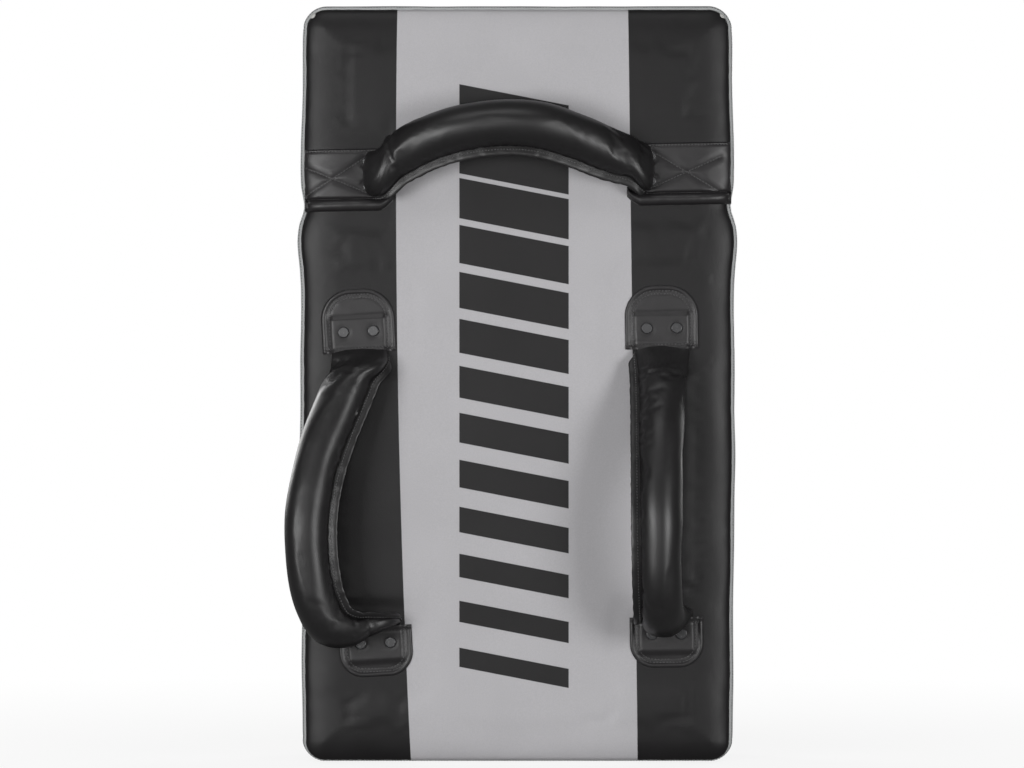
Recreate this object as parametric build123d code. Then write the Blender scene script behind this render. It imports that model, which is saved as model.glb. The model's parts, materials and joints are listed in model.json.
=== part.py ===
from build123d import *

import os
from dataclasses import dataclass
from math import cos, degrees, hypot, atan2, radians, sin

# A kick shield: a tall foam block in a sewn synthetic-leather cover, held by three padded
# grips on its back, two upright ones at the sides and one lying across the top.
#
# Millimetres. +Z runs up the shield, the width lies along X, and the back with its grips
# faces -Y. The origin is the middle of the bottom face that the shield stands on.

# ------------------------------------------------------------------ padded body
BODY_HEIGHT = 750.0
BODY_WIDTH = 428.0
BODY_THICKNESS = 150.0
CORNER_RADIUS = 22.0
COVER = 1.5              # synthetic leather of the panels and the gusset strips
FOAM_SLACK = 0.4         # between the cover and the foam inside
STRIKE_FOAM = 40.0       # firm sheet behind the striking face
BACK_FOAM = 30.0         # firm sheet behind the back panel
SEAM_INSET = 4.0         # panel topstitching, in from the panel's edge
SEAM_GROOVE = 0.9        # depth to which the topstitching is drawn into its panel
SEAM_GROOVE_SLACK = 0.1  # between the thread and each side of its groove
THREAD = 0.8             # thickness of the sewing thread

# ------------------------------------------------------------------ grips
NECK_HEIGHT = 6.0        # hinge line of a grip, above the back panel
NECK_CLEARANCE = 0.8     # least gap between a grip and the panel over its travel
NECK_GAP = 1.0           # between a grip's end and the stub that it turns beside
GRIP_TRAVEL = 70.0       # degrees that a grip leans to each side of upright
GRIP_COVER = 1.5
GRIP_FOAM_SLACK = 0.2
WEBBING_WIDTH = 26.0
WEBBING_THICKNESS = 3.0
WEBBING_SHARE = 0.62     # most of a sleeve's inner width that the webbing fills near its ends
SEAM_FLANGE = 9.0        # sewn edge that stands out along each grip's sleeve
SEAM_FLANGE_THICKNESS = 2.4
SEAM_FLANGE_START = 0.55 # share of the grip's rise at which the flange stands free of the sleeve
SEAM_THREAD_GAP = 0.15   # between a grip's flange and the thread that lies along it
SIDE_GRIP_RADIUS = 20.5
SIDE_GRIP_RISE = 76.0    # centreline of a side grip above its hinge line
TOP_GRIP_RADIUS = 23.0
TOP_GRIP_RISE = 59.0

# ------------------------------------------------------------------ patches, tabs and straps
PATCH_WIDTH = 73.0
UPPER_PATCH_LENGTH = 63.0
LOWER_PATCH_LENGTH = 50.0
UPPER_PATCH_CORNER = 30.0
LOWER_PATCH_CORNER = 24.0
PATCH_LEATHER = 1.6
TAB_WIDTH = 52.0
TAB_LENGTH = 32.0
TAB_THICKNESS = 3.0
TAB_COVER_CORNER = 3.0
PATCH_STITCH_INSET = 4.0
PATCH_STITCH_SPACING = 1.0   # between the outer stitch row's inner edge and the next row
STRAP_WIDTH = 50.0
STRAP_THICKNESS = 3.0
STRAP_WELT = 10.0            # rolled edge along the strap's lower side
STRAP_WELT_THICKNESS = 5.0
STRAP_SEAM_INSET = 5.5       # strap end, in from the side of the body, just inside the seam

# ------------------------------------------------------------------ rivets
RIVET_CAP_RADIUS = 5.5
RIVET_CAP_HEIGHT = 1.8
RIVET_SHANK_RADIUS = 2.0
RIVET_TAIL_RADIUS = 3.2
RIVET_TAIL_HEIGHT = 1.0
RIVET_HOLE_CLEARANCE = 0.1
WASHER_RADIUS = 7.0
WASHER_THICKNESS = 1.2
BACKING_THICKNESS = 1.5      # reinforcing leather inside the cover
BACKING_LENGTH = 40.0
BACKING_WIDTH = 58.0
BACKING_CORNER = 8.0
POCKET_SLACK = 1.0           # relief in the back foam round the washers and the backing
SIDE_RIVET_SPACING = 29.5
UPPER_RIVET_SETBACK = 25.0
LOWER_RIVET_SETBACK = 21.0
STRAP_RIVET_SPACING = 25.0
STRAP_RIVET_SETBACK = 10.0

BACK_FACE = -BODY_THICKNESS / 2
STRIKE_FACE = BODY_THICKNESS / 2
OUTWARD = Vector(0, -1, 0)   # out of the back panel

# A grip's centreline, as (distance from its end, share of its full rise). A side grip climbs
# gently from its upper end and comes down steeply on its lower one.
SIDE_UPPER_CURVE = [(6, 0.0), (25, 0.15), (52, 0.40), (84, 0.66), (120, 0.87), (158, 0.99)]
SIDE_LOWER_CURVE = [(70, 1.0), (47, 0.93), (31, 0.74), (19, 0.47), (11, 0.22), (6, 0.0)]
TOP_CURVE = [(6, 0.0), (22, 0.24), (48, 0.60), (80, 0.88), (114, 1.0)]


@dataclass
class Handle:
    """One grip: the two points on the back panel, as (x, z), where it leaves its anchors."""

    name: str
    start: tuple
    end: tuple
    lean: float          # degrees about its hinge line at rest, from straight out of the back
    rise: float
    radius: float
    start_curve: list
    end_curve: list
    flange_turn: float   # where its seam flange stands, in degrees round the sleeve

    @property
    def span(self):
        return hypot(self.end[0] - self.start[0], self.end[1] - self.start[1])

    @property
    def direction(self):
        """Unit vector along the hinge line, from the start to the end."""
        run = (self.end[0] - self.start[0]) / self.span
        return Vector(run, 0, (self.end[1] - self.start[1]) / self.span)

    def grip_plane(self):
        """X along the hinge line, Z out through the grip as it leans at rest."""
        hinge = Vector(self.start[0], BACK_FACE - NECK_HEIGHT, self.start[1])
        return Plane(hinge, self.direction, OUTWARD.rotate(Axis((0, 0, 0), self.direction), self.lean))

    def anchor_plane(self, end):
        """On the back face at one end: X away from the grip, Z out of the panel."""
        x, z = self.end if end else self.start
        return Plane((x, BACK_FACE, z), self.direction * (1 if end else -1), OUTWARD)

    def stations(self):
        """The centreline as (distance along the hinge line, height, sleeve radius)."""
        shares = list(self.start_curve)
        shares += [(self.span - distance, share) for distance, share in self.end_curve]
        return [(s, share * self.rise, self.clear_radius(share * self.rise)) for s, share in shares]

    def clear_radius(self, height):
        """Sleeve radius at a height: full, or less where the grip would meet the panel."""
        room = NECK_HEIGHT - NECK_CLEARANCE + height * cos(radians(GRIP_TRAVEL))
        return min(self.radius, room)

    def seam_stations(self):
        """The raised stations where the flange stays off the panel, upright and leaning fully over."""
        turn, lean = radians(self.flange_turn), radians(GRIP_TRAVEL)
        kept = []
        for along, height, radius in self.stations():
            reach = radius + SEAM_FLANGE
            tip_height = height + reach * sin(turn)
            tip_side = abs(reach * cos(turn)) + SEAM_FLANGE_THICKNESS / 2
            lowest = min(tip_height, tip_height * cos(lean) - tip_side * sin(lean))
            if height > self.rise * SEAM_FLANGE_START and lowest > NECK_CLEARANCE - NECK_HEIGHT:
                kept.append((along, height, radius))
        return kept


SIDE_SHARED = dict(
    rise=SIDE_GRIP_RISE, radius=SIDE_GRIP_RADIUS,
    start_curve=SIDE_UPPER_CURVE, end_curve=SIDE_LOWER_CURVE,
)
LEFT_GRIP = Handle("left_grip", (-156.5, 402.0), (-142.0, 139.0), 50.0, flange_turn=-90, **SIDE_SHARED)
RIGHT_GRIP = Handle("right_grip", (143.5, 405.5), (147.5, 148.0), 4.5, flange_turn=-180, **SIDE_SHARED)
TOP_GRIP = Handle(
    "top_grip", (-138.0, 583.5), (122.0, 588.5), -50.0, TOP_GRIP_RISE, TOP_GRIP_RADIUS,
    TOP_CURVE, TOP_CURVE[::-1], flange_turn=-90,
)
GRIPS = [LEFT_GRIP, RIGHT_GRIP, TOP_GRIP]

SHAPES = {}


def save(name, shape):
    """Keep a finished piece under its node's name."""
    shape.label = name
    SHAPES[name] = shape


# ------------------------------------------------------------------ body
def slab(near, far, inset=0.0):
    """A slab of the body's rounded outline between two depths along Y, shrunk by inset."""
    outline = RectangleRounded(BODY_WIDTH - 2 * inset, BODY_HEIGHT - 2 * inset, CORNER_RADIUS - inset)
    plane = Plane((0, far, BODY_HEIGHT / 2), (1, 0, 0), OUTWARD)
    return extrude(plane * outline, far - near)


def anchors():
    """Each riveted anchor: (plane, rivet setback, rivet spacing)."""
    for grip in (LEFT_GRIP, RIGHT_GRIP):
        for end, setback in ((False, UPPER_RIVET_SETBACK), (True, LOWER_RIVET_SETBACK)):
            yield grip.anchor_plane(end), setback, SIDE_RIVET_SPACING
    for end in (False, True):
        yield TOP_GRIP.anchor_plane(end), STRAP_RIVET_SETBACK, STRAP_RIVET_SPACING


def rivet_places(setback, spacing):
    return [Pos(setback, side * spacing / 2, 0) for side in (-1, 1)]


def rivet_holes(plane, setback, spacing, depth, height):
    """Cutters for one anchor's two rivets, from depth below the back face to height above it."""
    radius = RIVET_SHANK_RADIUS + RIVET_HOLE_CLEARANCE
    hole = Pos(0, 0, (height - depth) / 2) * Cylinder(radius, height + depth)
    return [plane * place * hole for place in rivet_places(setback, spacing)]


def seam_ring(near, far, slack=0.0):
    """The line of the topstitching between two depths along Y, wider by a slack on each side."""
    return slab(near, far, SEAM_INSET - slack) - slab(near, far, SEAM_INSET + THREAD + slack)


def body_panels():
    strike = slab(STRIKE_FACE - COVER, STRIKE_FACE)
    strike -= seam_ring(STRIKE_FACE - SEAM_GROOVE, STRIKE_FACE, SEAM_GROOVE_SLACK)
    back = slab(BACK_FACE, BACK_FACE + COVER)
    back -= seam_ring(BACK_FACE, BACK_FACE + SEAM_GROOVE, SEAM_GROOVE_SLACK)
    for plane, setback, spacing in anchors():
        for hole in rivet_holes(plane, setback, spacing, 2 * COVER, COVER):
            back -= hole
    save("strike_panel", strike)
    save("back_panel", back)


def gusset_strips():
    """The four strips that join the two panels; the end strips turn the rounded corners."""
    depth = (BACK_FACE + COVER, STRIKE_FACE - COVER)
    ring = slab(*depth) - slab(*depth, inset=COVER)
    middle = BODY_HEIGHT - 2 * CORNER_RADIUS
    side = Pos(BODY_WIDTH / 4, 0, BODY_HEIGHT / 2) * Box(BODY_WIDTH / 2, BODY_THICKNESS, middle)
    end = Pos(0, 0, CORNER_RADIUS / 2) * Box(BODY_WIDTH, BODY_THICKNESS, CORNER_RADIUS)
    save("gusset_right", ring & side)
    save("gusset_left", ring & (Pos(-BODY_WIDTH / 2, 0, 0) * side))
    save("gusset_bottom", ring & end)
    save("gusset_top", ring & (Pos(0, 0, BODY_HEIGHT - CORNER_RADIUS) * end))


def seam_threads():
    """Topstitching round each panel, lying in its groove."""
    back, strike = BACK_FACE + SEAM_GROOVE, STRIKE_FACE - SEAM_GROOVE
    save("back_seam_thread", seam_ring(back - THREAD, back))
    save("strike_seam_thread", seam_ring(strike, strike + THREAD))


def foam_layers():
    inset = COVER + FOAM_SLACK
    front, rear = STRIKE_FACE - inset, BACK_FACE + inset
    joints = [front, front - STRIKE_FOAM, (front - STRIKE_FOAM + rear + BACK_FOAM) / 2, rear + BACK_FOAM, rear]
    names = ["foam_strike_layer", "foam_core_front", "foam_core_rear", "foam_back_layer"]
    for name, far, near in zip(names, joints, joints[1:]):
        layer = slab(near, far, inset)
        if name == "foam_back_layer":
            for plane, setback, _ in anchors():
                layer -= plane * backing_pocket(setback)
        save(name, layer)


# ------------------------------------------------------------------ anchors
def backing_outline(setback, slack=0.0):
    size = (BACKING_LENGTH + 2 * slack, BACKING_WIDTH + 2 * slack)
    return Pos(setback, 0) * RectangleRounded(*size, BACKING_CORNER)


def backing_pocket(setback):
    depth = BACKING_THICKNESS + WASHER_THICKNESS + RIVET_TAIL_HEIGHT + POCKET_SLACK
    return Pos(0, 0, -COVER) * extrude(backing_outline(setback, POCKET_SLACK), -depth)


def riveting(name, plane, setback, spacing, height):
    """Two rivets, their washers and the backing inside the cover, for one anchor."""
    grip_depth = COVER + BACKING_THICKNESS + WASHER_THICKNESS
    cap = Pos(0, 0, height + RIVET_CAP_HEIGHT / 2) * Cylinder(RIVET_CAP_RADIUS, RIVET_CAP_HEIGHT)
    cap = fillet(cap.edges().group_by(Axis.Z)[-1], RIVET_CAP_HEIGHT * 0.6)
    shank = Pos(0, 0, (height - grip_depth) / 2) * Cylinder(RIVET_SHANK_RADIUS, height + grip_depth)
    tail = Pos(0, 0, -grip_depth - RIVET_TAIL_HEIGHT / 2) * Cylinder(RIVET_TAIL_RADIUS, RIVET_TAIL_HEIGHT)
    rivet = cap + shank + tail
    ring = Cylinder(WASHER_RADIUS, WASHER_THICKNESS)
    ring -= Cylinder(RIVET_SHANK_RADIUS + RIVET_HOLE_CLEARANCE, 2 * WASHER_THICKNESS)
    ring = Pos(0, 0, WASHER_THICKNESS / 2 - grip_depth) * ring
    places = rivet_places(setback, spacing)
    save(name + "_rivets", Compound(children=[plane * place * rivet for place in places]))
    save(name + "_washers", Compound(children=[plane * place * ring for place in places]))
    backing = plane * Pos(0, 0, -COVER) * extrude(backing_outline(setback), -BACKING_THICKNESS)
    for hole in rivet_holes(plane, setback, spacing, grip_depth, COVER):
        backing -= hole
    save(name + "_backing", backing)


def anchor_stub():
    """The rounded neck of an anchor, coaxial with the hinge line."""
    radius = NECK_HEIGHT - NECK_CLEARANCE
    return Pos(PATCH_LEATHER, 0, NECK_HEIGHT) * Rot(0, 90, 0) * Cylinder(radius, 2 * PATCH_LEATHER)


def side_anchor(name, plane, length, corner, setback):
    """A tab that carries one end of a side grip, under its stitched D-shaped patch."""
    neck = NECK_GAP + 2 * PATCH_LEATHER
    height = TAB_THICKNESS + PATCH_LEATHER
    tab_length = TAB_LENGTH + neck - NECK_GAP
    tab = Pos(tab_length / 2, 0, TAB_THICKNESS / 2) * Box(tab_length, TAB_WIDTH, TAB_THICKNESS)
    patch_plane = plane * Pos(neck, 0, 0)
    outline = Pos(length / 2, 0) * Rectangle(length, PATCH_WIDTH)
    outline = fillet(outline.vertices().group_by(Axis.X)[-1], corner)
    cover_length = TAB_LENGTH + PATCH_LEATHER
    cover = Pos(cover_length / 2, 0, height / 2) * Box(cover_length, TAB_WIDTH + 2 * PATCH_LEATHER, height)
    cover = fillet(cover.edges().filter_by(Axis.Z).group_by(Axis.X)[-1], TAB_COVER_CORNER)
    patch = extrude(outline, PATCH_LEATHER) + cover
    patch -= Pos(0, 0, TAB_THICKNESS / 2) * Box(2 * TAB_LENGTH, TAB_WIDTH, TAB_THICKNESS)
    patch = patch_plane * patch
    tab = plane * Pos(NECK_GAP, 0, 0) * (tab + anchor_stub())
    for hole in rivet_holes(plane, setback, SIDE_RIVET_SPACING, COVER, 2 * height):
        patch -= hole
        tab -= hole
    save(name + "_patch", patch)
    save(name + "_tab", tab)
    save(name + "_patch_thread", patch_plane * patch_thread(outline, length))
    riveting(name, plane, setback, SIDE_RIVET_SPACING, height)


def patch_thread(outline, length):
    """Two rows of stitching that follow a patch's sides and its rounded end."""
    rows = Sketch()
    for row in range(2):
        inset = PATCH_STITCH_INSET + row * (THREAD + PATCH_STITCH_SPACING)
        rows += offset(outline, -inset) - offset(outline, -inset - THREAD)
    rows -= Rectangle(2 * (PATCH_STITCH_INSET + PATCH_STITCH_SPACING + 3 * THREAD), 2 * PATCH_WIDTH)
    return Pos(0, 0, PATCH_LEATHER) * extrude(rows, THREAD / 2)


def strap_anchor(name, end):
    """The flat strap from one end of the top grip to the seam at the side of the body."""
    plane = TOP_GRIP.anchor_plane(end)
    down = -1 if end else 1      # towards the strap's lower edge, along the plane's own Y
    corner = TOP_GRIP.end if end else TOP_GRIP.start
    length = BODY_WIDTH / 2 - STRAP_SEAM_INSET - abs(corner[0]) - NECK_GAP
    strap = Pos(length / 2, 0, STRAP_THICKNESS / 2) * Box(length, STRAP_WIDTH, STRAP_THICKNESS)
    welt = Pos(length / 2, down * (STRAP_WIDTH + STRAP_WELT) / 2, STRAP_WELT_THICKNESS / 2) * Box(
        length, STRAP_WELT, STRAP_WELT_THICKNESS
    )
    strap = plane * Pos(NECK_GAP, 0, 0) * (strap + welt + anchor_stub())
    for hole in rivet_holes(plane, STRAP_RIVET_SETBACK, STRAP_RIVET_SPACING, COVER, 2 * STRAP_THICKNESS):
        strap -= hole
    save(name + "_strap", strap)
    save(name + "_strap_thread", plane * strap_thread(length))
    riveting(name, plane, STRAP_RIVET_SETBACK, STRAP_RIVET_SPACING, STRAP_THICKNESS)


def strap_thread(length):
    """The crossed square of stitching that sews a strap down outside its rivets."""
    inner = STRAP_RIVET_SETBACK + WASHER_RADIUS + THREAD
    box_length = length - STRAP_SEAM_INSET - SEAM_INSET - inner
    box_width = STRAP_WIDTH - 2 * SEAM_INSET
    square = Rectangle(box_length, box_width)
    rows = square - offset(square, -THREAD)
    slant = degrees(atan2(box_width - THREAD, box_length - THREAD))
    for turn in (-slant, slant):
        rows += Rot(0, 0, turn) * Rectangle(hypot(box_length, box_width) - 2 * THREAD, THREAD)
    return Pos(inner + box_length / 2, 0, STRAP_THICKNESS) * extrude(rows, THREAD / 2)


# ------------------------------------------------------------------ grips
def sections(stations):
    """A plane square to the centreline at each station: X across the grip, Y away from the panel."""
    for index, (along, height, _) in enumerate(stations):
        before = stations[max(index - 1, 0)]
        after = stations[min(index + 1, len(stations) - 1)]
        tangent = Vector(after[0] - before[0], 0, after[1] - before[1])
        yield Plane((along, 0, height), (0, 1, 0), tangent)


def tube(stations, shrink=0.0):
    """A closed round body along the stations, shrunk by an amount from the sleeve's radius."""
    planes = sections(stations)
    return loft([plane * Circle(station[2] - shrink) for plane, station in zip(planes, stations)])


def ribbon(stations, width):
    """A flat strip along the stations, as wide as the sleeve has room for."""
    strips = []
    for plane, station in zip(sections(stations), stations):
        room = 2 * (station[2] - GRIP_COVER) * WEBBING_SHARE
        strips.append(plane * Rectangle(min(width, room), WEBBING_THICKNESS))
    return loft(strips)


def edge_strip(stations, turn, inner, outer, thickness, shift=0.0):
    """A strip that stands out from the sleeve, between two distances from its surface."""
    strips = []
    for plane, station in zip(sections(stations), stations):
        middle = station[2] + (inner + outer) / 2
        strips.append(plane * Rot(0, 0, turn) * Pos(middle, shift) * Rectangle(outer - inner, thickness))
    return loft(strips)


def grip(handle):
    """A padded grip: the webbing that carries the load, foam round it and a leather sleeve."""
    plane = handle.grip_plane()
    stations = handle.stations()
    padded = stations[1:-1]
    seam = handle.seam_stations()
    webbing = ribbon(stations, WEBBING_WIDTH)
    for along, height, radius in (stations[0], stations[-1]):
        webbing += Pos(along, 0, height) * Sphere(radius + NECK_CLEARANCE / 8)
    flange = edge_strip(seam, handle.flange_turn, -GRIP_COVER / 2, SEAM_FLANGE, SEAM_FLANGE_THICKNESS)
    sleeve = tube(padded) + flange - tube(padded, GRIP_COVER)
    foam = tube(padded, GRIP_COVER + GRIP_FOAM_SLACK) - webbing
    row = edge_strip(
        seam, handle.flange_turn, SEAM_FLANGE / 3, SEAM_FLANGE / 3 + THREAD, THREAD,
        (SEAM_FLANGE_THICKNESS + THREAD) / 2 + SEAM_THREAD_GAP,
    )
    save(handle.name + "_sleeve", plane * sleeve)
    save(handle.name + "_foam", plane * foam)
    save(handle.name + "_webbing", plane * webbing)
    save(handle.name + "_thread", plane * row)


def build():
    body_panels()
    gusset_strips()
    seam_threads()
    foam_layers()
    ends = (
        (False, "upper", UPPER_PATCH_LENGTH, UPPER_PATCH_CORNER, UPPER_RIVET_SETBACK),
        (True, "lower", LOWER_PATCH_LENGTH, LOWER_PATCH_CORNER, LOWER_RIVET_SETBACK),
    )
    for side, handle in (("left", LEFT_GRIP), ("right", RIGHT_GRIP)):
        for end, where, length, corner, setback in ends:
            side_anchor(f"{side}_{where}", handle.anchor_plane(end), length, corner, setback)
    strap_anchor("top_left", False)
    strap_anchor("top_right", True)
    for handle in GRIPS:
        grip(handle)


build()
os.makedirs("parts", exist_ok=True)
for node, shape in SHAPES.items():
    export_step(shape, f"parts/{node}.step")
for handle in GRIPS:
    frame = handle.grip_plane()
    print(handle.name, "hinge", tuple(frame.origin), "axis", tuple(frame.x_dir), "lean", handle.lean)
print(len(SHAPES), "pieces")
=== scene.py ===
import json
import math
from contextlib import contextmanager

import bpy
import numpy as np
from bpy.props import FloatProperty, FloatVectorProperty, PointerProperty
from bpy.types import Operator, Panel, PropertyGroup
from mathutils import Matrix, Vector, noise


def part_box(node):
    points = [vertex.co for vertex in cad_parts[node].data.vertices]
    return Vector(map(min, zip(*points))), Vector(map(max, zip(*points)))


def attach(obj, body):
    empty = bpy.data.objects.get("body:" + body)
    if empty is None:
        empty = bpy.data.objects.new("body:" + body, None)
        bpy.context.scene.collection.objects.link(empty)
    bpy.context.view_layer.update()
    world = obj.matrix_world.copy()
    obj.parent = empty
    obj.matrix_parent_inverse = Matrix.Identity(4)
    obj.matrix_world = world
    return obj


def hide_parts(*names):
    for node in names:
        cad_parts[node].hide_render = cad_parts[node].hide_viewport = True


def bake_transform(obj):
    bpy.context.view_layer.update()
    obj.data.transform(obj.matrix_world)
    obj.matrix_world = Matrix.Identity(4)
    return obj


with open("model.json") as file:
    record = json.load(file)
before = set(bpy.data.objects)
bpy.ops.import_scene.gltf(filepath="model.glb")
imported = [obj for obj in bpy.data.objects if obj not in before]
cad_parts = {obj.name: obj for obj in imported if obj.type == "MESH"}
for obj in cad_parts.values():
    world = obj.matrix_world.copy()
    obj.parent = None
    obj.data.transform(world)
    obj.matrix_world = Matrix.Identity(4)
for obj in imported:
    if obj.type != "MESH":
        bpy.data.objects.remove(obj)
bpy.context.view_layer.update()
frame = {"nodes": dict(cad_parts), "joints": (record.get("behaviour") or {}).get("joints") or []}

bl_info = {
    "name": "Kick Shield",
    "version": (1, 0, 0),
    "blender": (4, 5, 0),
    "location": "3D View > Sidebar > Kick Shield",
    "description": "Builds the padded cover, grips, patches, straps and stitching of a kick shield",
    "category": "Object",
}

# Metres, +Z up, the back with its grips faces -Y. A size written in millimetres is times MM.
MM = 0.001
OUT = np.array((0.0, -1.0, 0.0))
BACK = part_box("back_panel")[0].y
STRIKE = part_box("strike_panel")[1].y
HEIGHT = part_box("back_panel")[1].z
HALF_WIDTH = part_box("back_panel")[1].x

SEAM_TUCK = 3.5 * MM        # the seam line of a panel, in from the widest part of the gusset
SEAM_CORNER = 20 * MM       # radius of the seam line's corners
SEAM_LOW = 0.8 * MM         # height of the seam along the bottom
LEATHER = 1.5 * MM
PATCH_RISE = 1.6 * MM       # patch leather above the panel
TAB_RISE = 3.0 * MM         # the tab inside a patch
LIP = 4.2 * MM              # where a patch starts, beyond the grip's neck
STRAP_RISE = 3.0 * MM
STITCH_PITCH = 3.2 * MM
SEAM_PITCH = 2.85 * MM
SEAM_DEPTH = abs(BACK)
SEAM_HALF = HALF_WIDTH - 0.6 * MM - SEAM_TUCK
SEAM_TOP = HEIGHT - 2.8 * MM
SEAM_MIDDLE = (SEAM_LOW + SEAM_TOP) / 2
SEAM_TALL = (SEAM_TOP - SEAM_LOW) / 2
PATCH_HALF = 36.5 * MM      # half of a patch's width
PATCH_ROWS = (5 * MM, 8.3 * MM)     # a patch's stitching, in from its edge
PATCH_HEM = 4.5 * MM        # the row across a patch, in from its lip
PATCHES = {"upper": (63 * MM, 30 * MM), "lower": (50 * MM, 24 * MM)}        # length, corner radius
SETBACKS = {"upper": 25 * MM, "lower": 21 * MM, "strap": 10 * MM}           # from a neck to its rivets
ANCHORS = [f"{side}_{where}_patch" for side in ("left", "right") for where in PATCHES]
ANCHORS += ["top_left_strap", "top_right_strap"]
# The two lines of crossed stitching on a strap, from its outer end to the grip, as (from the neck, up).
CROSS = [((80 * MM, 10.5 * MM), (2.4 * MM, -22.5 * MM)), ((77 * MM, -23.5 * MM), (12.3 * MM, 16.7 * MM))]
WELT = -30.5 * MM           # the middle of a strap's rolled welt, below the middle of the strap
FOLD = -24.4 * MM           # where a strap's flat face meets its welt
BAR_PITCH = 0.0445          # the printed bars, along the band
BAR_START = 0.083
BARS = 13
PRINT_EDGE = 0.5 * MM       # softness of the print's edges
CLOTH_FRAMES = 20


# ------------------------------------------------------------------ small tools
def cover_settings():
    return bpy.context.scene.kick_shield_cover


def smooth(t):
    t = np.clip(t, 0, 1)
    return t * t * (3 - 2 * t)


def hump(distance, width):
    return np.exp(-((distance / width) ** 2))


def lumps(points, size, seed):
    """Even noise from -1 to 1 at each point, with lumps of about the given size."""
    shift = Vector((seed * 7.31, seed * 3.17, seed * 5.93))
    return np.array([noise.noise(Vector(p) / size + shift) for p in np.asarray(points, float)])


def spaced(low, high, step, fine, margin):
    """Positions from low to high: fine steps within a margin of each end and wider ones between."""
    ends = max(2, round(margin / fine))
    middle = max(1, round((high - low - 2 * margin) / step))
    return np.concatenate([
        np.linspace(low, low + margin, ends, endpoint=False),
        np.linspace(low + margin, high - margin, middle, endpoint=False),
        np.linspace(high - margin, high, ends + 1),
    ])


def run_of(points):
    """Distance along a row of points, at each of them."""
    return np.concatenate([[0], np.cumsum(np.linalg.norm(np.diff(points, axis=0), axis=1))])


def read_off(marks, run, values):
    """Values along a run, at the given marks."""
    return np.stack([np.interp(marks, run, column) for column in values.T], axis=-1)


def start(name):
    """The object that was just added, named, with nothing else selected."""
    piece = bpy.context.object
    piece.name = piece.data.name = name
    return piece


def clear_selection():
    bpy.ops.object.select_all(action="DESELECT")


def only(piece):
    clear_selection()
    piece.select_set(True)
    bpy.context.view_layer.objects.active = piece


def points_of(piece):
    co = np.empty(len(piece.data.vertices) * 3)
    piece.data.vertices.foreach_get("co", co)
    return co.reshape(-1, 3)


def put_points(piece, points):
    piece.data.vertices.foreach_set("co", np.asarray(points, float).ravel())
    piece.data.update()


def grid(name, columns, rows):
    """A grid of leather with each vertex's column and row."""
    clear_selection()
    bpy.ops.mesh.primitive_grid_add(x_subdivisions=columns, y_subdivisions=rows, size=2)
    piece = start(name)
    co = points_of(piece)
    return piece, np.rint((co[:, 0] + 1) / 2 * columns).astype(int), np.rint((co[:, 1] + 1) / 2 * rows).astype(int)


def modify(piece, kind, **settings):
    """Adds a modifier, sets it and applies it."""
    only(piece)
    bpy.ops.object.modifier_add(type=kind)
    modifier = piece.modifiers[-1]
    for key, value in settings.items():
        setattr(modifier, key, value)
    bpy.ops.object.modifier_apply(modifier=modifier.name)


@contextmanager
def editing(piece):
    """Edit mode, with everything selected."""
    only(piece)
    bpy.ops.object.mode_set(mode="EDIT")
    bpy.ops.mesh.select_all(action="SELECT")
    yield
    bpy.ops.object.mode_set(mode="OBJECT")


def face_outwards(piece):
    with editing(piece):
        bpy.ops.mesh.remove_doubles(threshold=0.00001)
        bpy.ops.mesh.normals_make_consistent(inside=False)


def face_towards(piece, direction):
    """Turns an open sheet's faces over where most of them look away from a direction."""
    normals = np.empty(len(piece.data.polygons) * 3)
    piece.data.polygons.foreach_get("normal", normals)
    if (normals.reshape(-1, 3) @ np.asarray(direction, float)).sum() < 0:
        piece.data.flip_normals()


def hold(piece, weights):
    """Marks how firmly each point of a piece is held while it settles."""
    group = piece.vertex_groups.new(name="held")
    levels = np.round(weights, 1)
    for level in np.unique(levels[levels > 0]):
        group.add(np.nonzero(levels == level)[0].tolist(), float(level), "REPLACE")


def settle(piece, growth, limit):
    """Lets leather settle as cloth that is slightly too large, held at its seams.

    No point moves further than the limit."""
    rest = points_of(piece)
    only(piece)
    bpy.ops.object.modifier_add(type="CLOTH")
    modifier = piece.modifiers[-1]
    cloth = modifier.settings
    cloth.vertex_group_mass = "held"
    cloth.tension_stiffness = cloth.compression_stiffness = 15
    cloth.shear_stiffness = 5
    cloth.bending_stiffness = 0.5
    cloth.use_pressure = True
    cloth.uniform_pressure_force = 4
    cloth.shrink_min = -growth
    cloth.effector_weights.gravity = 0
    cloth.quality = 4
    modifier.collision_settings.use_collision = False
    for frame_number in range(1, CLOTH_FRAMES + 1):
        bpy.context.scene.frame_set(frame_number)
    bpy.ops.object.modifier_apply(modifier=modifier.name)
    bpy.context.scene.frame_set(1)
    moved = points_of(piece) - rest
    far = np.maximum(np.linalg.norm(moved, axis=1), 1e-9)
    put_points(piece, rest + moved * (limit * np.tanh(far / limit) / far)[:, None])
    piece.vertex_groups.clear()


def shade(piece, degrees):
    only(piece)
    bpy.ops.object.shade_smooth_by_angle(angle=math.radians(degrees))
    return piece


def thicken(piece, degrees, thickness=LEATHER):
    """Gives a sheet its thickness, inwards from its face, and smooth shading."""
    modify(piece, "SOLIDIFY", thickness=thickness, offset=-1, use_even_offset=False)
    return shade(piece, degrees)


def hand_over(piece, body, slot, *nodes):
    """Gives a finished piece its material and its body, and lets it stand for its CAD nodes."""
    piece.data.materials.clear()
    piece.data.materials.append(finishes()[slot])
    if nodes:
        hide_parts(*nodes)
    if body:
        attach(piece, body)


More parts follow.
